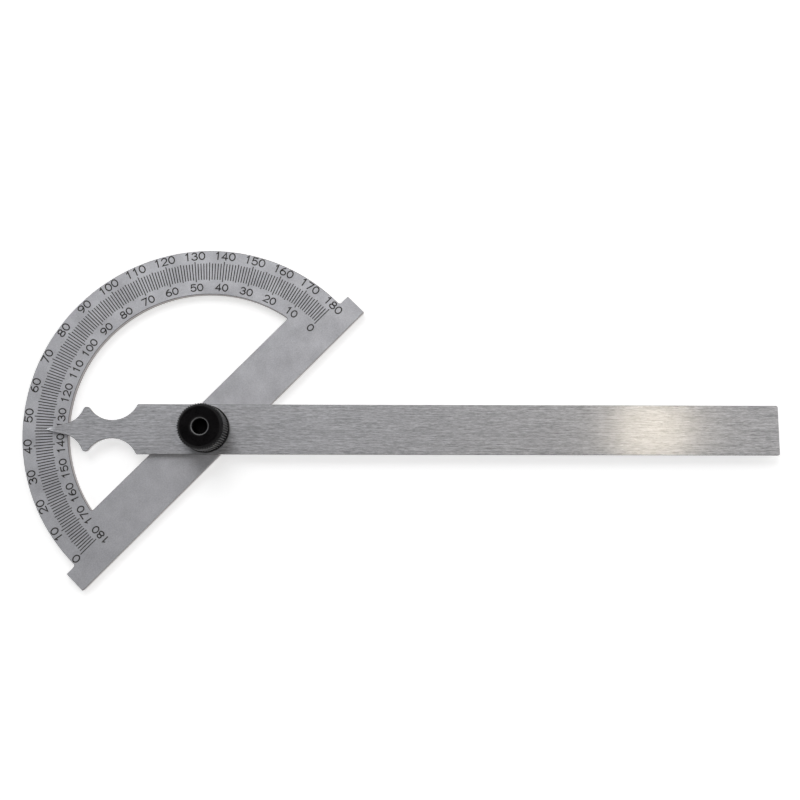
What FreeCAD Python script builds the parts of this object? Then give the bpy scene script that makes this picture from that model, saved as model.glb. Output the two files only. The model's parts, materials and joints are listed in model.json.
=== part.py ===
import FreeCAD, Part
import math
import os

# A 180 degree protractor with a closed arc and a swinging blade.
# The origin is on the pivot axis at the back face of the dial plate. +X runs along the base bar
# towards the zero of the inner scale, +Y towards the arc, +Z out of the graduated face.
# The blade is drawn at the reading that the scale shows, and its own frame has U from the
# pointer towards the long end.

# Dial plate
PLATE_THICKNESS = 1.5
ARC_OUTER_RADIUS = 40.0
ARC_BAND_WIDTH = 9.85
BAR_WIDTH = 10.9
PIVOT_TO_BASE_EDGE = 5.9
TAB_HEIGHT = 5.0
TAB_OVERHANG = 2.55
TAB_FILLET_RADIUS = 0.6
WINDOW_CORNER_RADIUS = 0.5

# Degree graduations, cut as shallow grooves in the dial face
GRADUATION_STEP_DEG = 1
GRADUATED_ANGLE_DEG = 180
LINE_WIDTH = 0.22
LINE_DEPTH = 0.08
LINES_FROM_WINDOW = 3.3
LINES_FROM_RIM = 2.85
FIVE_LINE_EXTRA = 0.22
TEN_LINE_EXTRA = 0.45

# Blade
BLADE_THICKNESS = 1.0
BLADE_WIDTH = 10.9
BLADE_REACH = 124.8
BLADE_END_CORNER_RADIUS = 0.4
BLADE_READING_DEG = 45.6
POINTER_OVER_LINES = 1.25
POINTER_TIP_WIDTH = 0.16
POINTER_HALF_ANGLE_DEG = 14.5
POINTER_TAPER_LENGTH = 4.6
POINTER_FLANK_RADIUS = 5.2
BARB_HALF_WIDTH = 4.86
BARB_ROUND_RADIUS = 0.75
BARB_EDGE_WIDTH = 1.01
NOTCH_RADIUS = 6.0
WAIST_WIDTH = 3.94
TIP_BEVEL_LENGTH = 2.2
TIP_EDGE_THICKNESS = 0.3

# Clamp: a flush pivot screw with an M4 stud, a plain washer and a knurled nut
SCREW_HEAD_DIAMETER = 8.0
SCREW_HEAD_RECESS = 0.1
SCREW_HEAD_EDGE = 0.15
SHOULDER_DIAMETER = 6.0
SHOULDER_SHORTFALL = 0.05
STUD_CORE_DIAMETER = 3.3
STUD_END_CHAMFER = 0.4
STUD_BELOW_NUT_TOP = 2.6
WASHER_DIAMETER = 10.4
WASHER_BORE_DIAMETER = 4.3
WASHER_THICKNESS = 1.0
WASHER_EDGE_CHAMFER = 0.2
NUT_DIAMETER = 9.96
NUT_HEIGHT = 6.55
NUT_BORE_DIAMETER = 3.4
NUT_BORE_CHAMFER_DIAMETER = 4.4
NUT_TOP_CHAMFER = 0.75
NUT_BOTTOM_CHAMFER = 0.4
KNURL_TEETH = 57
KNURL_DEPTH = 0.35

# Fits
SCREW_SEAT_CLEARANCE = 0.02
BLADE_BORE_CLEARANCE = 0.03
WASHER_CLEARANCE = 0.05
NUT_SEAT_CLEARANCE = 0.02

# Sizes that follow from the ones above
ARC_INNER_RADIUS = ARC_OUTER_RADIUS - ARC_BAND_WIDTH
BAR_LENGTH = 2 * (ARC_OUTER_RADIUS + TAB_OVERHANG)
DEGREE_LINE_START = ARC_INNER_RADIUS + LINES_FROM_WINDOW
DEGREE_LINE_END = ARC_OUTER_RADIUS - LINES_FROM_RIM
POINTER_REACH = DEGREE_LINE_START + POINTER_OVER_LINES
BLADE_BOTTOM_Z = PLATE_THICKNESS
BLADE_TOP_Z = BLADE_BOTTOM_Z + BLADE_THICKNESS
WASHER_BOTTOM_Z = BLADE_TOP_Z + WASHER_CLEARANCE
NUT_BOTTOM_Z = WASHER_BOTTOM_Z + WASHER_THICKNESS + NUT_SEAT_CLEARANCE
NUT_TOP_Z = NUT_BOTTOM_Z + NUT_HEIGHT

UP = FreeCAD.Vector(0, 0, 1)
CUT_MARGIN = 1.0


def point(x, y, z=0.0):
    return FreeCAD.Vector(x, y, z)


def disc(radius, height, z=0.0, x=0.0, y=0.0):
    return Part.makeCylinder(radius, height, point(x, y, z), UP)


def block(x_size, y_size, z_size, x=0.0, y=0.0, z=0.0):
    return Part.makeBox(x_size, y_size, z_size, point(x, y, z))


def polygon_prism(corners, height, z=0.0):
    loop = [point(x, y, z) for x, y in corners]
    face = Part.Face(Part.makePolygon(loop + loop[:1]))
    return face.extrude(point(0, 0, height))


def turned(profile):
    """A solid of revolution about Z from (radius, z) corners."""
    loop = [point(r, 0, z) for r, z in profile]
    face = Part.Face(Part.makePolygon(loop + loop[:1]))
    return face.revolve(point(0, 0), UP, 360)


def upright_edges_at(shape, places, tolerance=0.01):
    """The edges of shape that run along Z through the given (x, y) places."""
    found = []
    for edge in shape.Edges:
        ends = [v.Point for v in edge.Vertexes]
        if len(ends) != 2 or ends[0].distanceToPoint(ends[1]) < tolerance:
            continue
        for x, y in places:
            if all(math.hypot(p.x - x, p.y - y) < tolerance for p in ends):
                found.append(edge)
                break
    return found


def plate_outline():
    """The arc and the base bar with a square tab at each end."""
    base_y = -PIVOT_TO_BASE_EDGE
    tab_y = base_y + TAB_HEIGHT
    half = BAR_LENGTH / 2
    arc_x = math.sqrt(ARC_OUTER_RADIUS**2 - tab_y**2)
    left = [(-arc_x, tab_y), (-half, tab_y), (-half, base_y)]
    straight = left + [(-x, y) for x, y in reversed(left)]
    edges = []
    for start, end in zip(straight, straight[1:]):
        edges.append(Part.LineSegment(point(*start), point(*end)).toShape())
    crown = point(0, ARC_OUTER_RADIUS)
    edges.append(Part.Arc(point(arc_x, tab_y), crown, point(-arc_x, tab_y)).toShape())
    body = Part.Face(Part.Wire(edges)).extrude(point(0, 0, PLATE_THICKNESS))
    steps = upright_edges_at(body, [(-arc_x, tab_y), (arc_x, tab_y)])
    return body.makeFillet(TAB_FILLET_RADIUS, steps)


def window():
    """The D-shaped opening between the bar and the arc, with rounded corners."""
    sill_y = BAR_WIDTH - PIVOT_TO_BASE_EDGE
    corner_x = math.sqrt(ARC_INNER_RADIUS**2 - sill_y**2)
    sill = Part.LineSegment(point(-corner_x, sill_y), point(corner_x, sill_y)).toShape()
    crown = point(0, ARC_INNER_RADIUS)
    arc = Part.Arc(point(corner_x, sill_y), crown, point(-corner_x, sill_y)).toShape()
    body = Part.Face(Part.Wire([sill, arc])).extrude(point(0, 0, PLATE_THICKNESS))
    corners = upright_edges_at(body, [(-corner_x, sill_y), (corner_x, sill_y)])
    return body.makeFillet(WINDOW_CORNER_RADIUS, corners)


def graduation_grooves():
    """One groove per degree: the fives are longer than the units, and the tens longer still."""
    grooves = []
    for degree in range(0, GRADUATED_ANGLE_DEG + 1, GRADUATION_STEP_DEG):
        extra = 0.0
        if degree % 10 == 0:
            extra = TEN_LINE_EXTRA
        elif degree % 5 == 0:
            extra = FIVE_LINE_EXTRA
        start = DEGREE_LINE_START - extra
        length = DEGREE_LINE_END + extra - start
        floor_z = PLATE_THICKNESS - LINE_DEPTH
        groove = block(length, LINE_WIDTH, LINE_DEPTH + CUT_MARGIN, start, -LINE_WIDTH / 2, floor_z)
        groove.rotate(point(0, 0), UP, degree)
        grooves.append(groove)
    return Part.makeCompound(grooves)


def screw_seat():
    """The hole and countersink in the dial plate for the pivot screw."""
    gap = SCREW_SEAT_CLEARANCE
    head = SCREW_HEAD_DIAMETER / 2 + gap
    shoulder = SHOULDER_DIAMETER / 2 + gap
    straight_z = SCREW_HEAD_RECESS + SCREW_HEAD_EDGE
    cone_z = straight_z + head - shoulder
    top_z = PLATE_THICKNESS + CUT_MARGIN
    return turned(
        [
            (0, -CUT_MARGIN),
            (head, -CUT_MARGIN),
            (head, straight_z),
            (shoulder, cone_z),
            (shoulder, top_z),
            (0, top_z),
        ]
    )


def make_dial_plate():
    plate = plate_outline().cut(window()).cut(screw_seat())
    return plate.cut(graduation_grooves())


def taper_end():
    """Where the pointer's straight taper runs into the flank, on the +V side."""
    angle = math.radians(POINTER_HALF_ANGLE_DEG)
    u = -POINTER_REACH + POINTER_TAPER_LENGTH * math.cos(angle)
    v = POINTER_TIP_WIDTH / 2 + POINTER_TAPER_LENGTH * math.sin(angle)
    return u, v


def flank_centre():
    """Centre of the flank cutter, which runs tangent into the pointer's taper."""
    angle = math.radians(POINTER_HALF_ANGLE_DEG)
    u, v = taper_end()
    return u - POINTER_FLANK_RADIUS * math.sin(angle), v + POINTER_FLANK_RADIUS * math.cos(angle)


def barb_corners():
    """The two ends of the barb's outer edge, on the +V side: at the flank and at the notch."""
    flank_u, flank_v = flank_centre()
    rise = BARB_HALF_WIDTH - flank_v
    corner_u = flank_u + math.sqrt(POINTER_FLANK_RADIUS**2 - rise**2)
    return [(corner_u, BARB_HALF_WIDTH), (corner_u + BARB_EDGE_WIDTH, BARB_HALF_WIDTH)]


def notch_centre():
    """Centre of the notch cutter, which leaves the waist and runs out at the barb's corner."""
    v = WAIST_WIDTH / 2 + NOTCH_RADIUS
    corner_u, corner_v = barb_corners()[1]
    return corner_u + math.sqrt(NOTCH_RADIUS**2 - (v - corner_v) ** 2), v


def barb_round():
    """The round on the barb's two corners, at most what the edge between them has room for."""
    flank_turn = math.acos((flank_centre()[1] - BARB_HALF_WIDTH) / POINTER_FLANK_RADIUS)
    notch_turn = math.acos((notch_centre()[1] - BARB_HALF_WIDTH) / NOTCH_RADIUS)
    room = BARB_EDGE_WIDTH / (math.tan(flank_turn / 2) + math.tan(notch_turn / 2))
    return min(BARB_ROUND_RADIUS, room)


def pointer_and_strip():
    """The straight strip of the blade and the tapered pointer, with U along X and the pivot at 0."""
    tip_half = POINTER_TIP_WIDTH / 2
    half = BLADE_WIDTH / 2
    taper_u, taper_v = taper_end()
    waist_u = notch_centre()[0]
    # The stock is left full beside the flanks and the waist, which the round cuts then shape
    corners = [
        (-POINTER_REACH, -tip_half),
        (taper_u, -taper_v),
        (taper_u, -BARB_HALF_WIDTH),
        (waist_u, -BARB_HALF_WIDTH),
        (waist_u, -half),
        (BLADE_REACH, -half),
    ]
    mirrored = [(u, -v) for u, v in reversed(corners)]
    body = polygon_prism(corners + mirrored, BLADE_THICKNESS)
    ends = upright_edges_at(body, [(BLADE_REACH, -half), (BLADE_REACH, half)])
    return body.makeFillet(BLADE_END_CORNER_RADIUS, ends)


def tip_bevel():
    """The wedge that thins the pointer's tip from its top face down to its reading edge."""
    start = -POINTER_REACH + TIP_BEVEL_LENGTH
    drop = BLADE_THICKNESS - TIP_EDGE_THICKNESS
    run_out = -POINTER_REACH - CUT_MARGIN
    low_z = TIP_EDGE_THICKNESS - drop * CUT_MARGIN / TIP_BEVEL_LENGTH
    corners = [(start, BLADE_THICKNESS), (run_out, low_z), (run_out, BLADE_THICKNESS + CUT_MARGIN)]
    corners.append((start, BLADE_THICKNESS + CUT_MARGIN))
    loop = [point(u, -BLADE_WIDTH, z) for u, z in corners]
    face = Part.Face(Part.makePolygon(loop + loop[:1]))
    return face.extrude(point(0, 2 * BLADE_WIDTH, 0))


def make_blade():
    blade = pointer_and_strip()
    flank_u, flank_v = flank_centre()
    notch_u, notch_v = notch_centre()
    depth = BLADE_THICKNESS + 2 * CUT_MARGIN
    for side in (1, -1):
        blade = blade.cut(disc(NOTCH_RADIUS, depth, -CUT_MARGIN, notch_u, side * notch_v))
        blade = blade.cut(disc(POINTER_FLANK_RADIUS, depth, -CUT_MARGIN, flank_u, side * flank_v))
    corners = barb_corners()
    both_sides = corners + [(u, -v) for u, v in corners]
    blade = blade.makeFillet(barb_round(), upright_edges_at(blade, both_sides))
    blade = blade.cut(tip_bevel())
    blade = blade.cut(disc(SHOULDER_DIAMETER / 2 + BLADE_BORE_CLEARANCE, depth, -CUT_MARGIN))
    blade.rotate(point(0, 0), UP, -BLADE_READING_DEG)
    blade.translate(point(0, 0, BLADE_BOTTOM_Z))
    return blade


def make_clamp_screw():
    """Flush countersunk head, the shoulder that the blade turns on, and the stud's core."""
    head = SCREW_HEAD_DIAMETER / 2
    shoulder = SHOULDER_DIAMETER / 2
    core = STUD_CORE_DIAMETER / 2
    edge_z = SCREW_HEAD_RECESS + SCREW_HEAD_EDGE
    cone_z = edge_z + head - shoulder
    shoulder_z = BLADE_TOP_Z - SHOULDER_SHORTFALL
    end_z = NUT_TOP_Z - STUD_BELOW_NUT_TOP
    chamfer = STUD_END_CHAMFER
    return turned(
        [
            (0, SCREW_HEAD_RECESS),
            (head, SCREW_HEAD_RECESS),
            (head, edge_z),
            (shoulder, cone_z),
            (shoulder, shoulder_z),
            (core, shoulder_z),
            (core, end_z - chamfer),
            (core - chamfer, end_z),
            (0, end_z),
        ]
    )


def make_clamp_washer():
    outer = WASHER_DIAMETER / 2
    bore = WASHER_BORE_DIAMETER / 2
    chamfer = WASHER_EDGE_CHAMFER
    low = WASHER_BOTTOM_Z
    high = low + WASHER_THICKNESS
    rim = [(outer, low), (outer, high - chamfer), (outer - chamfer, high)]
    return turned([(bore, low)] + rim + [(bore, high)])


def knurled_bar():
    """A straight-knurled bar as long as the nut, with pointed teeth."""
    tip = NUT_DIAMETER / 2
    root = tip - KNURL_DEPTH
    outline = []
    for corner in range(2 * KNURL_TEETH):
        radius = tip if corner % 2 == 0 else root
        angle = math.pi * corner / KNURL_TEETH
        outline.append((radius * math.cos(angle), radius * math.sin(angle)))
    return polygon_prism(outline, NUT_HEIGHT, NUT_BOTTOM_Z)


def make_clamp_nut():
    """The knurled bar is trimmed by a turned envelope with chamfered ends, and bored for the stud."""
    bore = NUT_BORE_DIAMETER / 2
    mouth = NUT_BORE_CHAMFER_DIAMETER / 2
    outer = NUT_DIAMETER / 2
    low = NUT_BOTTOM_Z
    high = NUT_TOP_Z
    envelope = turned(
        [
            (bore, low + mouth - bore),
            (mouth, low),
            (outer - NUT_BOTTOM_CHAMFER, low),
            (outer, low + NUT_BOTTOM_CHAMFER),
            (outer, high - NUT_TOP_CHAMFER),
            (outer - NUT_TOP_CHAMFER, high),
            (mouth, high),
            (bore, high - (mouth - bore)),
        ]
    )
    return knurled_bar().common(envelope)


def export(name, shape):
    solids = shape.Solids
    if len(solids) != 1 or not solids[0].isValid():
        raise ValueError(f"{name} is not one valid solid")
    solids[0].exportStep(f"parts/{name}.step")
    box = solids[0].BoundBox
    size = f"volume {solids[0].Volume:.2f} mm3, {len(solids[0].Faces)} faces"
    print(f"{name}: {size}, z {box.ZMin:.2f} to {box.ZMax:.2f}")


os.makedirs("parts", exist_ok=True)
export("dial_plate", make_dial_plate())
export("blade", make_blade())
export("clamp_screw", make_clamp_screw())
export("clamp_washer", make_clamp_washer())
export("clamp_nut", make_clamp_nut())
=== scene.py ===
import json
import math

import bmesh
import bpy
from mathutils import Matrix, Vector


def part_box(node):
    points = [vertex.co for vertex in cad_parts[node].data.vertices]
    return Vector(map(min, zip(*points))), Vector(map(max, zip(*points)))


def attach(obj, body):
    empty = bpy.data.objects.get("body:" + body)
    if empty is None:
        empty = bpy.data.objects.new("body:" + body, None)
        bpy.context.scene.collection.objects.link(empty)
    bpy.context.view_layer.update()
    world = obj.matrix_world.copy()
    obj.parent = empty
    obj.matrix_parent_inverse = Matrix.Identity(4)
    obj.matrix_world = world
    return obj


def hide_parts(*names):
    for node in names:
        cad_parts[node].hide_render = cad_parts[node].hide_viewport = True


# A 180 degree protractor: satin dial plate, brushed blade, black knurled clamp nut.
# Everything is in metres in the part's frame: the pivot is the Z axis and the plate's back is z = 0.

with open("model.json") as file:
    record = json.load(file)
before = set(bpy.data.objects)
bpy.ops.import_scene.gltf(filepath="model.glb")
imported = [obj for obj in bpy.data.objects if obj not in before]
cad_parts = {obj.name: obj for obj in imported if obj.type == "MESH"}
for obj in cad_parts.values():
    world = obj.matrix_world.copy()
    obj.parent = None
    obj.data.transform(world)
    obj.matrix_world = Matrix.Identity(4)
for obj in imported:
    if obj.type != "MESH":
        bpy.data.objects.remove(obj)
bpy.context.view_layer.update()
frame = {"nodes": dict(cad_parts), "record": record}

MM = 0.001

# Dial plate
SCALE_DEG = 180
FIVE_LINE_STEP_DEG = 5
TEN_LINE_STEP_DEG = 10
ARC_BAND_WIDTH = 9.85 * MM
LINES_FROM_WINDOW = 3.3 * MM
LINES_FROM_RIM = 2.85 * MM
FIVE_LINE_EXTRA = 0.22 * MM
TEN_LINE_EXTRA = 0.45 * MM
LINE_WIDTH = 0.22 * MM
LINE_DEPTH = 0.08 * MM
PLATE_EDGE_ROUND = 0.1 * MM

# Paint in the graduations and numerals
PAINT_EDGE_BELOW_FACE = 0.006 * MM
PAINT_MIDDLE_BELOW_FACE = 0.02 * MM
PAINT_SIDE_GAP = 0.004 * MM
NUMERAL_PROUD = 0.002 * MM
NUMERAL_THICKNESS = 0.03 * MM
NUMERAL_STROKE = 0.28 * MM
NUMERAL_PITCH_PER_HEIGHT = 1.02
INNER_NUMERAL_HEIGHT = 1.48 * MM
INNER_NUMERAL_FOOT = 31.0 * MM
OUTER_NUMERAL_HEIGHT = 1.6 * MM
OUTER_NUMERAL_FOOT = 38.05 * MM
BOW_STEP_DEG = 15
BOW_LEAST_STEPS = 6
STROKE_END_STEPS = 6
CLOSED_STROKE_GAP = 0.001 * MM
MITRE_LEAST_COSINE = 0.45

# Blade
BLADE_ANGLE_DEG = -45.6
BLADE_EDGE_ROUND = 0.09 * MM

# Clamp
SCREW_HEAD_RADIUS = 4.0 * MM
SCREW_HEAD_EDGE = 0.15 * MM
SHOULDER_RADIUS = 3.0 * MM
SHOULDER_TOP = 2.45 * MM
STUD_CORE_RADIUS = 1.65 * MM
STUD_THREAD_DEPTH = 0.3 * MM
STUD_END_CHAMFER = 0.4 * MM
WASHER_BORE_RADIUS = 2.15 * MM
WASHER_CHAMFER = 0.2 * MM
NUT_BORE_RADIUS = 1.7 * MM
NUT_THREAD_DEPTH = 0.32 * MM
NUT_MOUTH_RADIUS = 2.2 * MM
# The nut's mouth chamfer inside this radius gets a painted highlight ring
NUT_MOUTH_HIGHLIGHT_RADIUS = 1.98 * MM
NUT_TOP_CHAMFER = 0.75 * MM
NUT_BOTTOM_CHAMFER = 0.4 * MM
KNURL_TEETH = 57
KNURL_DEPTH = 0.35 * MM
# Knurl tips within this depth of the outside are lighter grey, as wear and painted highlight
KNURL_WEAR_AND_HIGHLIGHT_DEPTH = KNURL_DEPTH / 4
KNURL_TIP_SHARE = 0.18
KNURL_ROOT_SHARE = 0.08
THREAD_PITCH = 2 * math.pi / frame["record"]["behaviour"]["couplings"][0]["ratio"]
THREAD_RUN_OUT = THREAD_PITCH / 3
THREAD_ROWS_PER_TURN = 10
RING_COLUMNS = 96
CHAMFER_STEPS = 8
EDGE_ROUND = 0.04 * MM

# Softened edges and smooth shading
SAME_PLACE = 0.0001 * MM
FLAT_UNDER_DEG = 0.5
SOFTENED_OVER_DEG = 50
SOFTENED_SEGMENTS = 2
PLATE_SMOOTH_UNDER_DEG = 40
RING_SMOOTH_UNDER_DEG = 30
LEVEL_NORMAL = 0.999

# Colour of a plate by how far up it faces, from 0 on an upright wall to 1 on a flat face, with painted
# shade on the walls and on the rounded edges
# Sheared steel's grey on the walls, darkened as painted shade
WALL_STEEL_WITH_PAINTED_SHADE = (0.42, 0.4, 0.395)
PAINTED_SHADE_WALL_BELOW = 0.3
# A near-black painted shade line on the rounded edges between walls and faces
PAINTED_SHADE_EDGE = (0.07, 0.068, 0.068)
PAINTED_SHADE_EDGE_ABOVE = 0.4
PAINTED_SHADE_EDGE_BELOW = 0.925
FACE_ABOVE = 0.945

# Wear and painted highlights on the blackened pieces: lighter grey on the knurl tips and the washer's rim
# as wear and painted highlight, and a painted highlight ring on the nut's mouth chamfer
WEAR_AND_HIGHLIGHT_GREY = (0.28, 0.28, 0.285)
WEAR_AND_HIGHLIGHT_PATCHES_ADDED = 0.1
TIP_WEAR_AND_HIGHLIGHT_FADE = 0.04 * MM
MOUTH_HIGHLIGHT_FADE = 0.12 * MM
MOUTH_HIGHLIGHT_MOST = 0.62

# Floor
FLOOR_HALF_WIDTH = 3.0
FLOOR_BELOW_PLATE = 0.02 * MM
FLOOR_COLOUR = (0.8, 0.8, 0.8)
FLOOR_GLOW = 0.52
FLOOR_SHADOW_REACH = 0.25
FLOOR_WHITE_FROM = 0.8

# Camera, worked out from the positions of the degree lines in the photograph
CAMERA_PLACE = Vector((14.44, -40.99, 205.26)) * MM
CAMERA_AIM = Vector((34.13, -25.39, 1.5)) * MM
PHOTO_UP_DEG = 44.467
LENS_MM = 42.14
SENSOR_MM = 36.0
CAMERA_SEES_FROM = 0.01

# Lamps: the soft ones are placed by their bearing to the left of the picture's top
SOFT_LAMP_DISTANCE = 2.2
SOFT_LAMP_AIM = (0.02, -0.02, 0)
SOFT_WHITE = (0.98, 0.985, 1)
WINDOW_TO_LEFT_DEG = 12
WINDOW_HEIGHT_DEG = 45
WINDOW_SIZE = 1.5
WINDOW_POWER = 18.5
SIDE_TO_LEFT_DEG = -60
SIDE_HEIGHT_DEG = 36
SIDE_SIZE = 2.5
SIDE_POWER = 12.0
WARM_LAMP_PLACE = (0.331, -0.209, 1.0)
WARM_LAMP_AIM = (0.068, -0.069, 0)
WARM_LAMP_SIZE = 0.1
WARM_LAMP_POWER = 0.4
WARM_LAMP_COLOUR = (1, 0.89, 0.71)
TIP_LAMP_PLACE = (-0.486, 0.605, 0.512)
TIP_LAMP_AIM = (-0.024, 0.025, 0)
TIP_LAMP_SIZE = 0.14
TIP_LAMP_POWER = 0.42
TIP_LAMP_COLOUR = (0.9, 0.95, 1)

# World, by the height of the direction: 0 at the horizon and 1 straight up
HORIZON = (0.8, 0.8, 0.8)
HORIZON_BELOW = 0.3
CEILING = (0.02, 0.02, 0.021)
CEILING_ABOVE = 0.85

dial_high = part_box("dial_plate")[1]
washer_low, washer_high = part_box("clamp_washer")
nut_low, nut_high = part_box("clamp_nut")
screw_low, screw_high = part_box("clamp_screw")
DIAL_FACE = dial_high.z
ARC_OUTER_RADIUS = dial_high.y
ARC_INNER_RADIUS = ARC_OUTER_RADIUS - ARC_BAND_WIDTH
LINE_START = ARC_INNER_RADIUS + LINES_FROM_WINDOW
LINE_END = ARC_OUTER_RADIUS - LINES_FROM_RIM


def turned_about_z(degrees):
    return Matrix.Rotation(math.radians(degrees), 4, "Z")


def add_object(name, mesh, material, body):
    """A new piece with one material, which rides on a body."""
    piece = bpy.data.objects.new(name, mesh)
    bpy.context.scene.collection.objects.link(piece)
    piece.data.materials.append(material)
    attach(piece, body)
    return piece


def mesh_from(bm, name):
    bmesh.ops.recalc_face_normals(bm, faces=bm.faces)
    mesh = bpy.data.meshes.new(name)
    bm.to_mesh(mesh)
    bm.free()
    return mesh


# Materials


class Surface:
    """A Principled material and short ways to add its nodes."""

    def __init__(self, name, metallic, roughness):
        self.material = bpy.data.materials.new(name)
        self.material.use_nodes = True
        self.tree = self.material.node_tree
        self.shader = self.tree.nodes["Principled BSDF"]
        self.shader.inputs["Metallic"].default_value = metallic
        self.shader.inputs["Roughness"].default_value = roughness
        coordinates = self.tree.nodes.new("ShaderNodeTexCoord")
        self.place = coordinates.outputs["Object"]
        self.facing = coordinates.outputs["Normal"]

    def link(self, output, node, socket):
        self.tree.links.new(output, node.inputs[socket])

    def scaled(self, vector, factors):
        node = self.tree.nodes.new("ShaderNodeVectorMath")
        node.operation = "MULTIPLY"
        node.inputs[1].default_value = factors
        self.link(vector, node, 0)
        return node.outputs["Vector"]

    def mapped(self, turn_deg, factors):
        """Object coordinates, turned about Z and then scaled along each axis."""
        turn = self.tree.nodes.new("ShaderNodeVectorRotate")
        turn.rotation_type = "Z_AXIS"
        turn.inputs["Angle"].default_value = math.radians(turn_deg)
        self.link(self.place, turn, "Vector")
        return self.scaled(turn.outputs["Vector"], factors)

    def noise(self, vector, scale, detail=2.0, rough=0.5):
        texture = self.tree.nodes.new("ShaderNodeTexNoise")
        texture.inputs["Scale"].default_value = scale
        texture.inputs["Detail"].default_value = detail
        texture.inputs["Roughness"].default_value = rough
        self.link(vector, texture, "Vector")
        return texture.outputs["Fac"]

    def math(self, operation, first, second):
        node = self.tree.nodes.new("ShaderNodeMath")
        node.operation = operation
        for socket, value in enumerate((first, second)):
            if isinstance(value, (int, float)):
                node.inputs[socket].default_value = value
            else:
                self.link(value, node, socket)
        return node.outputs[0]

    def blend(self, first, first_share, second):
        """The sum of two values, of which the first has a share and the second has the rest."""
        first_part = self.math("MULTIPLY", first, first_share)
        second_part = self.math("MULTIPLY", second, 1 - first_share)
        return self.math("ADD", first_part, second_part)

    def ramp(self, factor, stops):
        """Colours, or grey values, at given places between 0 and 1."""
        node = self.tree.nodes.new("ShaderNodeValToRGB")
        points = node.color_ramp.elements
        while len(points) < len(stops):
            points.new(0.5)
        for element, (position, colour) in zip(points, stops):
            element.position = position
            rgb = colour if isinstance(colour, tuple) else (colour,) * 3
            element.color = (*rgb, 1.0)
        self.link(factor, node, "Fac")
        return node.outputs["Color"]

    def mix(self, factor, first, second):
        node = self.tree.nodes.new("ShaderNodeMix")
        node.data_type = "RGBA"
        self.link(factor, node, "Factor")
        for socket, value in (("A", first), ("B", second)):
            target = next(s for s in node.inputs if s.name == socket and s.type == "RGBA")
            if isinstance(value, tuple):
                target.default_value = (*value, 1.0)
            else:
                self.tree.links.new(value, target)
        return next(s for s in node.outputs if s.type == "RGBA")

    def colour(self, output):
        self.link(output, self.shader, "Base Color")

    def roughness(self, output):
        self.link(output, self.shader, "Roughness")

    def bump(self, height, distance):
        node = self.tree.nodes.new("ShaderNodeBump")
        node.inputs["Distance"].default_value = distance
        self.link(height, node, "Height")
        self.link(node.outputs["Normal"], self.shader, "Normal")

    def radius(self):
        """Distance from the pivot axis."""
        node = self.tree.nodes.new("ShaderNodeVectorMath")
        node.operation = "LENGTH"
        self.link(self.scaled(self.place, (1, 1, 0)), node, 0)
        return node.outputs["Value"]

    def z_of(self, vector):
        node = self.tree.nodes.new("ShaderNodeSeparateXYZ")
        self.link(vector, node, 0)
        return node.outputs["Z"]

    def plate_colour(self, face):
        """Sheared steel darkened as painted shade on a plate's upright walls, a near-black painted shade
        line on its rounded edges and a colour on its faces.
        """
        upward = self.math("ABSOLUTE", self.z_of(self.facing), 0)
        # Painted shade by which way the surface faces: darker walls and near-black rounded edges
        edge = self.ramp(upward, [(PAINTED_SHADE_WALL_BELOW, WALL_STEEL_WITH_PAINTED_SHADE), (PAINTED_SHADE_EDGE_ABOVE, PAINTED_SHADE_EDGE)])
        flat = self.ramp(upward, [(PAINTED_SHADE_EDGE_BELOW, 0.0), (FACE_ABOVE, 1.0)])
        self.colour(self.mix(flat, edge, face))


def satin_steel():
    """Fine-blasted steel, mottled softly over a few millimetres."""
    dark = (0.49, 0.49, 0.515)
    light = (0.73, 0.73, 0.76)
    surface = Surface("satin_steel", 1.0, 0.6)
    clouds = surface.noise(surface.place, 220, 3.0)
    grain = surface.noise(surface.place, 4200, 2.0, 0.7)
    tone = surface.blend(clouds, 0.5, grain)
    surface.plate_colour(surface.ramp(tone, [(0.3, dark), (0.7, light)]))
    surface.roughness(surface.ramp(tone, [(0.3, 0.66), (0.7, 0.56)]))
    surface.bump(grain, 0.012 * MM)
    return surface.material


def brushed_steel():
    """Steel brushed along the blade: short fine scratches among a few longer ones."""
    dark = (0.34, 0.34, 0.355)
    light = (0.78, 0.78, 0.805)
    surface = Surface("brushed_blade_steel", 1.0, 0.55)
    fine = surface.noise(surface.mapped(-BLADE_ANGLE_DEG, (850, 6500, 1000)), 1.0, 3.0, 0.75)
    long = surface.noise(surface.mapped(-BLADE_ANGLE_DEG, (120, 5000, 500)), 1.0, 2.0, 0.6)
    streaks = surface.blend(fine, 0.7, long)
    surface.plate_colour(surface.ramp(streaks, [(0.37, dark), (0.63, light)]))
    surface.roughness(surface.ramp(streaks, [(0.37, 0.6), (0.63, 0.5)]))
    surface.bump(streaks, 0.006 * MM)
    surface.shader.inputs["Coat Weight"].default_value = 1.0
    surface.shader.inputs["Coat Roughness"].default_value = 0.13
    across = surface.tree.nodes.new("ShaderNodeVectorTransform")
    across.vector_type = "VECTOR"
    across.convert_from = "OBJECT"
    across.convert_to = "WORLD"
    across_angle = math.radians(BLADE_ANGLE_DEG + 90)
    across.inputs[0].default_value = (math.cos(across_angle), math.sin(across_angle), 0)
    surface.link(across.outputs[0], surface.shader, "Tangent")
    surface.shader.inputs["Anisotropic"].default_value = 0.3
    return surface.material


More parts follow.
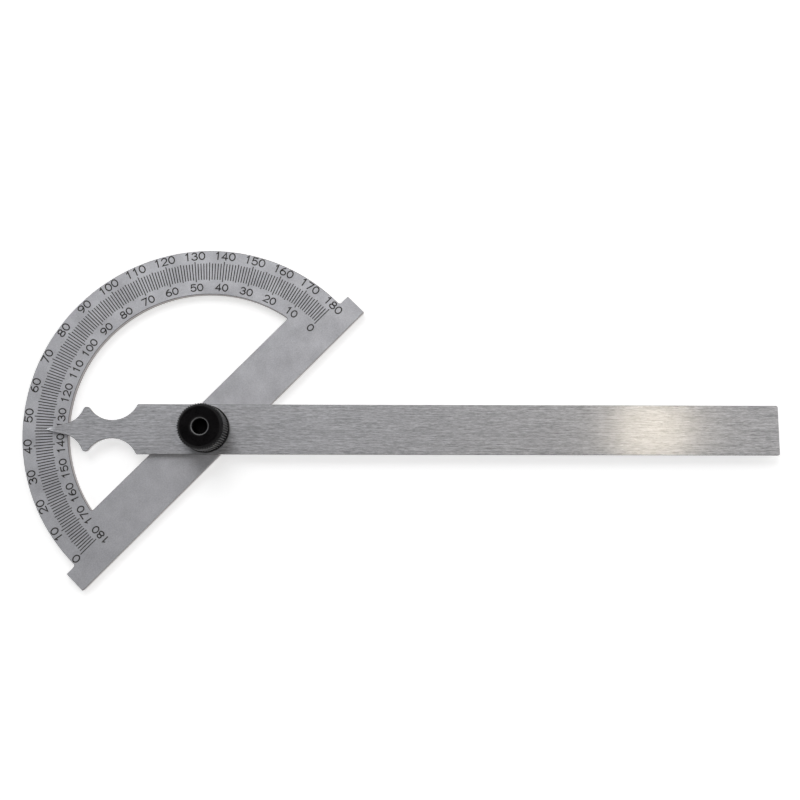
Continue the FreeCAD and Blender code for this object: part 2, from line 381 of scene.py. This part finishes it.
def black_finish(name, wear_and_highlight_radius, mouth_highlight_radius=0.0, mouth_highlight_height=0.0):
    """Blackened steel, lighter grey past a radius as wear and painted highlight, and with a painted
    highlight ring on the chamfer of a bore's mouth.
    """
    dark = (0.003, 0.0027, 0.003)
    light = (0.007, 0.0063, 0.007)
    surface = Surface(name, 0.0, 0.38)
    grain = surface.noise(surface.place, 2600, 3.0, 0.6)
    clouds = surface.noise(surface.place, 500, 2.0)
    black = surface.ramp(clouds, [(0.3, dark), (0.7, light)])
    patches = surface.math("ADD", grain, WEAR_AND_HIGHLIGHT_PATCHES_ADDED)
    # Lighter grey past the radius: wear, and painted highlight on the knurl tips and the washer's rim
    past = surface.math("SUBTRACT", surface.radius(), wear_and_highlight_radius)
    wear_and_highlight = surface.math("MULTIPLY", surface.math("MULTIPLY", past, 1 / TIP_WEAR_AND_HIGHLIGHT_FADE), patches)
    # A painted highlight ring on the chamfer of the bore's mouth
    if mouth_highlight_radius:
        inside = surface.math("SUBTRACT", mouth_highlight_radius, surface.radius())
        above = surface.math("GREATER_THAN", surface.z_of(surface.place), mouth_highlight_height)
        mouth_highlight = surface.math("MULTIPLY", surface.math("MULTIPLY", inside, 1 / MOUTH_HIGHLIGHT_FADE), above)
        mouth_highlight = surface.math("MINIMUM", surface.math("MULTIPLY", mouth_highlight, patches), MOUTH_HIGHLIGHT_MOST)
        wear_and_highlight = surface.math("MAXIMUM", wear_and_highlight, mouth_highlight)
    limited = surface.math("MINIMUM", surface.math("MAXIMUM", wear_and_highlight, 0.0), 1.0)
    surface.colour(surface.mix(limited, black, WEAR_AND_HIGHLIGHT_GREY))
    surface.roughness(surface.ramp(grain, [(0.3, 0.36), (0.7, 0.24)]))
    surface.bump(grain, 0.003 * MM)
    surface.shader.inputs["Specular IOR Level"].default_value = 0.1
    return surface.material


def dark_paint():
    """The brown-black filling of the engraved lines and numerals."""
    dark = (0.016, 0.0135, 0.0125)
    light = (0.044, 0.039, 0.035)
    surface = Surface("engraving_paint", 0.0, 0.6)
    grain = surface.noise(surface.place, 4000, 3.0, 0.6)
    surface.colour(surface.ramp(grain, [(0.3, dark), (0.75, light)]))
    surface.bump(grain, 0.01 * MM)
    return surface.material


# Numerals: single strokes on a unit height, with x from the middle of the figure


def bow(x, y, x_radius, y_radius, start_deg, end_deg):
    """Points along an elliptical arc."""
    steps = max(BOW_LEAST_STEPS, int(abs(end_deg - start_deg) / BOW_STEP_DEG))
    points = []
    for step in range(steps + 1):
        angle = math.radians(start_deg + (end_deg - start_deg) * step / steps)
        points.append((x + x_radius * math.cos(angle), y + y_radius * math.sin(angle)))
    return points


def six():
    stem = bow(0.34, 0.32, 0.72, 0.7, 106, 178)
    return [stem, bow(0, 0.3, 0.37, 0.3, 0, 360)]


FIGURES = {
    "0": [bow(0, 0.5, 0.39, 0.5, 0, 360)],
    "1": [[(-0.17, 0.8), (0.07, 1), (0.07, 0)]],
    "2": [bow(0, 0.69, 0.35, 0.31, 165, -35) + [(-0.36, 0), (0.38, 0)]],
    "3": [bow(-0.02, 0.76, 0.31, 0.24, 160, -80) + bow(-0.02, 0.27, 0.38, 0.27, 80, -160)],
    "4": [[(0.16, 0), (0.16, 1), (-0.38, 0.27), (0.38, 0.27)]],
    "5": [[(0.32, 1), (-0.25, 1), (-0.32, 0.52)] + bow(-0.01, 0.33, 0.38, 0.33, 125, -150)],
    "6": six(),
    "7": [[(-0.37, 1), (0.37, 1), (-0.12, 0)]],
    "8": [bow(0, 0.76, 0.3, 0.24, 0, 360), bow(0, 0.26, 0.38, 0.26, 0, 360)],
    "9": [[(-x, 1 - y) for x, y in stroke] for stroke in six()],
}


def offsets(path, half_width):
    """The left and right edge points of a stroke, mitred at its corners."""
    closed = math.dist(path[0], path[-1]) < CLOSED_STROKE_GAP
    pairs = []
    for index, place in enumerate(path):
        before = path[index - 1] if index else (path[-2] if closed else None)
        after = path[index + 1] if index + 1 < len(path) else (path[1] if closed else None)
        here = Vector(place)
        into = (here - Vector(before)).normalized() if before else None
        out = (Vector(after) - here).normalized() if after else None
        if into is None or out is None:
            along = into or out
            stretch = 1.0
        else:
            along = (into + out).normalized()
            stretch = 1 / max(MITRE_LEAST_COSINE, along.dot(out))
        side = Vector((-along.y, along.x)) * half_width * stretch
        pairs.append((here + side, here - side))
    return pairs, closed


def round_end(place, side, half_width):
    """Points of a half circle that closes a stroke, from one edge round to the other."""
    start = math.atan2(side.y, side.x)
    turns = [start + math.pi * step / STROKE_END_STEPS for step in range(1, STROKE_END_STEPS)]
    return [place + Vector((math.cos(a), math.sin(a))) * half_width for a in turns]


def add_stroke(bm, path, half_width, place):
    """A flat strip along path. place turns a flat point into a vertex position."""
    pairs, closed = offsets(path, half_width)
    if closed:
        pairs = pairs[:-1]
    edge_verts = [(bm.verts.new(place(a)), bm.verts.new(place(b))) for a, b in pairs]
    following = edge_verts[1:] + edge_verts[:1] if closed else edge_verts[1:]
    for (left, right), (next_left, next_right) in zip(edge_verts, following):
        bm.faces.new((left, right, next_right, next_left))
    if closed:
        return
    for index in (0, -1):
        left, right = pairs[index]
        middle = (left + right) / 2
        start_side = left - right if index == 0 else right - left
        arc = [bm.verts.new(place(p)) for p in round_end(middle, start_side, half_width)]
        first, last = edge_verts[index] if index == 0 else reversed(edge_verts[index])
        bm.faces.new([first, *arc, last])


def add_label(bm, text, degree, foot_radius, size):
    """A number centred on the line of a degree, with its head away from the pivot."""
    turn = turned_about_z(degree - 90)

    def on_dial(point):
        return turn @ Vector((point.x, point.y, DIAL_FACE + NUMERAL_PROUD))

    for index, figure in enumerate(text):
        middle = (index - (len(text) - 1) / 2) * size * NUMERAL_PITCH_PER_HEIGHT
        for stroke in FIGURES[figure]:
            path = [(middle + x * size, foot_radius + y * size) for x, y in stroke]
            add_stroke(bm, path, NUMERAL_STROKE / 2, on_dial)


def make_numerals(name, foot_radius, size, numbers, paint):
    """A row of numbers, one on each of the longest degree lines from the end on the right."""
    bm = bmesh.new()
    for index, number in enumerate(numbers):
        add_label(bm, str(number), index * TEN_LINE_STEP_DEG, foot_radius, size)
    bmesh.ops.recalc_face_normals(bm, faces=bm.faces)
    down = [f for f in bm.faces if f.normal.z < 0]
    bmesh.ops.reverse_faces(bm, faces=down)
    slab = bmesh.ops.extrude_face_region(bm, geom=bm.faces[:])
    sunk = [v for v in slab["geom"] if isinstance(v, bmesh.types.BMVert)]
    bmesh.ops.translate(bm, verts=sunk, vec=(0, 0, -NUMERAL_THICKNESS))
    add_object(name, mesh_from(bm, name), paint, "dial")


def make_graduation_paint(paint):
    """The paint in each degree line, slightly dished between the walls of its groove."""
    bm = bmesh.new()
    half = LINE_WIDTH / 2 - PAINT_SIDE_GAP
    floor = DIAL_FACE - LINE_DEPTH
    edge = DIAL_FACE - PAINT_EDGE_BELOW_FACE
    middle = DIAL_FACE - PAINT_MIDDLE_BELOW_FACE
    section = [
        (-half, floor),
        (half, floor),
        (half, edge),
        (half / 3, middle),
        (-half / 3, middle),
        (-half, edge),
    ]
    for degree in range(SCALE_DEG + 1):
        extra = 0.0
        if degree % TEN_LINE_STEP_DEG == 0:
            extra = TEN_LINE_EXTRA
        elif degree % FIVE_LINE_STEP_DEG == 0:
            extra = FIVE_LINE_EXTRA
        turn = turned_about_z(degree)
        ends = []
        for radius in (LINE_START - extra + PAINT_SIDE_GAP, LINE_END + extra - PAINT_SIDE_GAP):
            ends.append([bm.verts.new(turn @ Vector((radius, y, z))) for y, z in section])
        near, far = ends
        for corner in range(len(section)):
            following = (corner + 1) % len(section)
            bm.faces.new((near[corner], near[following], far[following], far[corner]))
        bm.faces.new(near)
        bm.faces.new(far)
    name = "graduation_paint"
    add_object(name, mesh_from(bm, name), paint, "dial")


# Pieces with softened edges


def is_groove_edge(edge):
    """True for the rims of the degree lines, which stay crisp."""
    middle = (edge.verts[0].co + edge.verts[1].co) / 2
    radius = math.hypot(middle.x, middle.y)
    margin = 2 * TEN_LINE_EXTRA
    return LINE_START - margin < radius < LINE_END + margin and middle.y > -LINE_WIDTH


def shade(bm, smooth_under_deg):
    """Level faces stay flat, and curved walls and rounded edges are smooth."""
    for face in bm.faces:
        face.smooth = abs(face.normal.z) < LEVEL_NORMAL
    for edge in bm.edges:
        if len(edge.link_faces) == 2:
            edge.smooth = edge.calc_face_angle() < math.radians(smooth_under_deg)


def softened_plate(node, name, body, material, width):
    """A copy of a flat CAD piece whose outline edges are slightly rounded."""
    bm = bmesh.new()
    bm.from_mesh(frame["nodes"][node].data)
    bmesh.ops.remove_doubles(bm, verts=bm.verts, dist=SAME_PLACE)
    flat = math.radians(FLAT_UNDER_DEG)
    bmesh.ops.dissolve_limit(bm, angle_limit=flat, verts=bm.verts, edges=bm.edges)
    sharp = []
    for edge in bm.edges:
        if len(edge.link_faces) == 2 and edge.calc_face_angle() > math.radians(SOFTENED_OVER_DEG):
            if not is_groove_edge(edge):
                sharp.append(edge)
    bmesh.ops.bevel(bm, geom=sharp, offset=width, segments=SOFTENED_SEGMENTS, profile=0.5, affect="EDGES")
    shade(bm, PLATE_SMOOTH_UNDER_DEG)
    piece = add_object(name, mesh_from(bm, name), material, body)
    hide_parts(node)


def ring_mesh(name, rows, closed):
    """A surface round the Z axis. Each row holds its angles and a (radius, height) for each of them."""
    bm = bmesh.new()
    count = len(rows[0][0])
    rings = []
    for angles, places in rows:
        ring = []
        for angle, (radius, height) in zip(angles, places):
            ring.append(bm.verts.new((radius * math.cos(angle), radius * math.sin(angle), height)))
        rings.append(ring)
    pairs = list(zip(rings, rings[1:]))
    if closed:
        pairs.append((rings[-1], rings[0]))
    for low, high in pairs:
        for column in range(count):
            following = (column + 1) % count
            bm.faces.new((low[column], low[following], high[following], high[column]))
    if not closed:
        bm.faces.new(rings[0])
        bm.faces.new(rings[-1])
    bmesh.ops.recalc_face_normals(bm, faces=bm.faces)
    shade(bm, RING_SMOOTH_UNDER_DEG)
    return mesh_from(bm, name)


def even_angles(count):
    return [2 * math.pi * column / count for column in range(count)]


def plain_ring(angles, radius, height):
    return angles, [(radius, height)] * len(angles)


def thread_rise(angle, height):
    """0 in the groove of the thread and 1 on its crest, along a right-hand helix."""
    turns = height / THREAD_PITCH - angle / (2 * math.pi)
    phase = turns - math.floor(turns)
    return 1 - abs(2 * phase - 1)


def thread_rows(angles, low, high, base_radius, depth):
    """Rows of a thread from low to high, which runs out at both ends."""
    count = math.ceil((high - low) / THREAD_PITCH * THREAD_ROWS_PER_TURN)
    rows = []
    for row in range(count + 1):
        height = low + (high - low) * row / count
        fade = min(1.0, (height - low) / THREAD_RUN_OUT, (high - height) / THREAD_RUN_OUT)
        radii = [base_radius + depth * fade * thread_rise(a, height) for a in angles]
        rows.append((angles, [(radius, height) for radius in radii]))
    return rows


def make_screw(steel):
    """The flush pivot screw with its shoulder and threaded stud."""
    angles = even_angles(RING_COLUMNS)
    bottom = screw_low.z
    top = screw_high.z
    edge = bottom + SCREW_HEAD_EDGE
    cone_top = edge + SCREW_HEAD_RADIUS - SHOULDER_RADIUS
    tip = STUD_CORE_RADIUS - STUD_END_CHAMFER
    thread_top = top - STUD_END_CHAMFER
    profile = [
        (SCREW_HEAD_RADIUS - EDGE_ROUND, bottom),
        (SCREW_HEAD_RADIUS, bottom + EDGE_ROUND),
        (SCREW_HEAD_RADIUS, edge),
        (SHOULDER_RADIUS, cone_top),
        (SHOULDER_RADIUS, SHOULDER_TOP - EDGE_ROUND),
        (SHOULDER_RADIUS - EDGE_ROUND, SHOULDER_TOP),
    ]
    rows = [plain_ring(angles, radius, height) for radius, height in profile]
    rows += thread_rows(angles, SHOULDER_TOP, thread_top, STUD_CORE_RADIUS, STUD_THREAD_DEPTH)
    rows.append(plain_ring(angles, tip, top))
    name = "threaded_pivot_screw"
    piece = add_object(name, ring_mesh(name, rows, False), steel, "dial")
    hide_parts("clamp_screw")


def make_washer(material):
    angles = even_angles(RING_COLUMNS)
    outer = washer_high.x
    low = washer_low.z
    high = washer_high.z
    profile = [
        (WASHER_BORE_RADIUS + EDGE_ROUND, low),
        (outer - EDGE_ROUND, low),
        (outer, low + EDGE_ROUND),
        (outer, high - WASHER_CHAMFER - EDGE_ROUND / 2),
        (outer - EDGE_ROUND / 2, high - WASHER_CHAMFER),
        (outer - WASHER_CHAMFER, high - EDGE_ROUND / 2),
        (outer - WASHER_CHAMFER - EDGE_ROUND / 2, high),
        (WASHER_BORE_RADIUS + EDGE_ROUND, high),
        (WASHER_BORE_RADIUS, high - EDGE_ROUND),
        (WASHER_BORE_RADIUS, low + EDGE_ROUND),
    ]
    rows = [plain_ring(angles, radius, height) for radius, height in profile]
    name = "blackened_washer"
    piece = add_object(name, ring_mesh(name, rows, True), material, "washer")
    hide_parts("clamp_washer")


def knurl_columns():
    """Angle and outer radius of each column of the knurl: blunted tips, straight flanks, narrow roots."""
    tip = nut_high.x - EDGE_ROUND / 2
    root = nut_high.x - KNURL_DEPTH
    tooth = 2 * math.pi / KNURL_TEETH
    tip_half = KNURL_TIP_SHARE / 2
    root_half = KNURL_ROOT_SHARE / 2
    corners = [(-tip_half, tip), (tip_half, tip), (0.5 - root_half, root), (0.5 + root_half, root)]
    angles = []
    radii = []
    for index in range(KNURL_TEETH):
        for share, radius in corners:
            angles.append((index + share) * tooth)
            radii.append(radius)
    return angles, radii


def make_nut(material):
    """The knurled nut with chamfered ends and an internal thread that meshes with the stud."""
    angles, knurl = knurl_columns()
    low = nut_low.z
    high = nut_high.z
    outer = nut_high.x
    mouth_depth = NUT_MOUTH_RADIUS - NUT_BORE_RADIUS
    shares = [step / CHAMFER_STEPS for step in range(CHAMFER_STEPS + 1)]

    def chamfer_row(chamfer, share, end, inward):
        """The knurl trimmed by the chamfer cone, at a share of the way out from the end face."""
        limit = outer - chamfer * (1 - share)
        height = end + inward * (chamfer * share + EDGE_ROUND / 4)
        return angles, [(min(radius, limit), height) for radius in knurl]

    rows = [plain_ring(angles, NUT_MOUTH_RADIUS, high)]
    rows.append(plain_ring(angles, outer - NUT_TOP_CHAMFER - EDGE_ROUND, high))
    rows += [chamfer_row(NUT_TOP_CHAMFER, share, high, -1) for share in shares]
    rows += [chamfer_row(NUT_BOTTOM_CHAMFER, share, low, 1) for share in reversed(shares)]
    rows.append(plain_ring(angles, outer - NUT_BOTTOM_CHAMFER - EDGE_ROUND, low))
    rows.append(plain_ring(angles, NUT_MOUTH_RADIUS, low))
    rows += thread_rows(angles, low + mouth_depth, high - mouth_depth, NUT_BORE_RADIUS, NUT_THREAD_DEPTH)
    name = "knurled_nut"
    piece = add_object(name, ring_mesh(name, rows, True), material, "nut")
    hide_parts("clamp_nut")


# Stage, lights and camera


def make_camera():
    camera = bpy.data.objects.new("camera", bpy.data.cameras.new("camera"))
    bpy.context.scene.collection.objects.link(camera)
    forward = (CAMERA_AIM - CAMERA_PLACE).normalized()
    up_deg = math.radians(PHOTO_UP_DEG)
    right = forward.cross(Vector((math.cos(up_deg), math.sin(up_deg), 0))).normalized()
    up = right.cross(forward)
    turn = Matrix((right, up, -forward)).transposed()
    camera.matrix_world = Matrix.Translation(CAMERA_PLACE) @ turn.to_4x4()
    camera.data.lens = LENS_MM
    camera.data.sensor_width = SENSOR_MM
    camera.data.clip_start = CAMERA_SEES_FROM
    bpy.context.scene.camera = camera


def add_lamp(name, place, aim, size, power, colour):
    lamp = bpy.data.lights.new(name, "AREA")
    lamp.shape = "DISK"
    lamp.size = size
    lamp.energy = power
    lamp.color = colour
    holder = bpy.data.objects.new(name, lamp)
    bpy.context.scene.collection.objects.link(holder)
    holder.location = place
    holder.rotation_mode = "QUATERNION"
    holder.rotation_quaternion = (Vector(aim) - Vector(place)).to_track_quat("-Z", "Y")
    holder.visible_camera = False


def add_soft_lamp(name, to_left_deg, height_deg, size, power):
    """A large soft lamp that leans over the object from one side."""
    bearing = math.radians(PHOTO_UP_DEG + to_left_deg)
    height = math.radians(height_deg)
    across = SOFT_LAMP_DISTANCE * math.cos(height)
    up = SOFT_LAMP_DISTANCE * math.sin(height)
    place = (across * math.cos(bearing), across * math.sin(bearing), up)
    add_lamp(name, place, SOFT_LAMP_AIM, size, power, SOFT_WHITE)


def make_lights():
    """Two soft lamps, a small warm lamp that the blade mirrors and a cool one that its tip mirrors."""
    add_soft_lamp("window", WINDOW_TO_LEFT_DEG, WINDOW_HEIGHT_DEG, WINDOW_SIZE, WINDOW_POWER)
    add_soft_lamp("side_light", SIDE_TO_LEFT_DEG, SIDE_HEIGHT_DEG, SIDE_SIZE, SIDE_POWER)
    add_lamp("warm_lamp", WARM_LAMP_PLACE, WARM_LAMP_AIM, WARM_LAMP_SIZE, WARM_LAMP_POWER, WARM_LAMP_COLOUR)
    add_lamp("tip_lamp", TIP_LAMP_PLACE, TIP_LAMP_AIM, TIP_LAMP_SIZE, TIP_LAMP_POWER, TIP_LAMP_COLOUR)


def make_world():
    """Pale at the horizon and dark overhead, as in a cove under a dim ceiling, but white to the camera."""
    world = bpy.data.worlds.new("studio")
    bpy.context.scene.world = world
    world.use_nodes = True
    tree = world.node_tree
    background = tree.nodes["Background"]
    direction = tree.nodes.new("ShaderNodeTexCoord")
    split = tree.nodes.new("ShaderNodeSeparateXYZ")
    room = tree.nodes.new("ShaderNodeValToRGB")
    stops = ((HORIZON_BELOW, HORIZON), (CEILING_ABOVE, CEILING))
    for element, (position, colour) in zip(room.color_ramp.elements, stops):
        element.position = position
        element.color = (*colour, 1)
    path = tree.nodes.new("ShaderNodeLightPath")
    seen = tree.nodes.new("ShaderNodeMix")
    seen.data_type = "RGBA"
    colours = [s for s in seen.inputs if s.type == "RGBA"]
    colours[1].default_value = (1, 1, 1, 1)
    tree.links.new(direction.outputs["Generated"], split.inputs[0])
    tree.links.new(split.outputs["Z"], room.inputs["Fac"])
    tree.links.new(room.outputs["Color"], colours[0])
    tree.links.new(path.outputs["Is Camera Ray"], seen.inputs["Factor"])
    tree.links.new(next(s for s in seen.outputs if s.type == "RGBA"), background.inputs["Color"])


def make_floor():
    """A white sheet that keeps the object's shadow and runs out to plain white far away."""
    signs = ((-1, -1), (1, -1), (1, 1), (-1, 1))
    corners = [(x * FLOOR_HALF_WIDTH, y * FLOOR_HALF_WIDTH, -FLOOR_BELOW_PLATE) for x, y in signs]
    mesh = bpy.data.meshes.new("floor")
    mesh.from_pydata(corners, [], [(0, 1, 2, 3)])
    material = bpy.data.materials.new("white_floor")
    material.use_nodes = True
    tree = material.node_tree
    tree.nodes.remove(tree.nodes["Principled BSDF"])
    diffuse = tree.nodes.new("ShaderNodeBsdfDiffuse")
    diffuse.inputs["Color"].default_value = (*FLOOR_COLOUR, 1)
    glow = tree.nodes.new("ShaderNodeEmission")
    path = tree.nodes.new("ShaderNodeLightPath")
    seen = tree.nodes.new("ShaderNodeMath")
    seen.operation = "MAXIMUM"
    place = tree.nodes.new("ShaderNodeTexCoord")
    distance = tree.nodes.new("ShaderNodeVectorMath")
    distance.operation = "LENGTH"
    whiteness = tree.nodes.new("ShaderNodeMapRange")
    whiteness.inputs["From Min"].default_value = FLOOR_SHADOW_REACH
    whiteness.inputs["From Max"].default_value = FLOOR_WHITE_FROM
    whiteness.inputs["To Min"].default_value = FLOOR_GLOW
    whiteness.inputs["To Max"].default_value = 1.0
    tree.links.new(place.outputs["Object"], distance.inputs[0])
    tree.links.new(distance.outputs["Value"], whiteness.inputs["Value"])
    strength = tree.nodes.new("ShaderNodeMath")
    strength.operation = "MULTIPLY"
    tree.links.new(whiteness.outputs["Result"], strength.inputs[1])
    both = tree.nodes.new("ShaderNodeAddShader")
    tree.links.new(path.outputs["Is Camera Ray"], seen.inputs[0])
    tree.links.new(path.outputs["Is Glossy Ray"], seen.inputs[1])
    tree.links.new(seen.outputs[0], strength.inputs[0])
    tree.links.new(strength.outputs[0], glow.inputs["Strength"])
    tree.links.new(diffuse.outputs[0], both.inputs[0])
    tree.links.new(glow.outputs[0], both.inputs[1])
    tree.links.new(both.outputs[0], tree.nodes["Material Output"].inputs["Surface"])
    floor = bpy.data.objects.new("floor", mesh)
    floor.data.materials.append(material)
    bpy.context.scene.collection.objects.link(floor)


paint = dark_paint()
softened_plate("dial_plate", "satin_dial", "dial", satin_steel(), PLATE_EDGE_ROUND)
softened_plate("blade", "brushed_blade", "blade", brushed_steel(), BLADE_EDGE_ROUND)
make_graduation_paint(paint)
numbers = range(0, SCALE_DEG + 1, TEN_LINE_STEP_DEG)
make_numerals("inner_numerals", INNER_NUMERAL_FOOT, INNER_NUMERAL_HEIGHT, numbers, paint)
make_numerals("outer_numerals", OUTER_NUMERAL_FOOT, OUTER_NUMERAL_HEIGHT, reversed(numbers), paint)
make_screw(black_finish("black_screw", SCREW_HEAD_RADIUS - EDGE_ROUND))
make_washer(black_finish("black_washer", washer_high.x - EDGE_ROUND))
mouth_foot = nut_high.z - (NUT_MOUTH_RADIUS - NUT_BORE_RADIUS)
make_nut(black_finish("black_nut", nut_high.x - KNURL_WEAR_AND_HIGHLIGHT_DEPTH, NUT_MOUTH_HIGHLIGHT_RADIUS, mouth_foot))
make_floor()
make_world()
make_lights()
make_camera()
bpy.context.scene.view_settings.view_transform = "Standard"
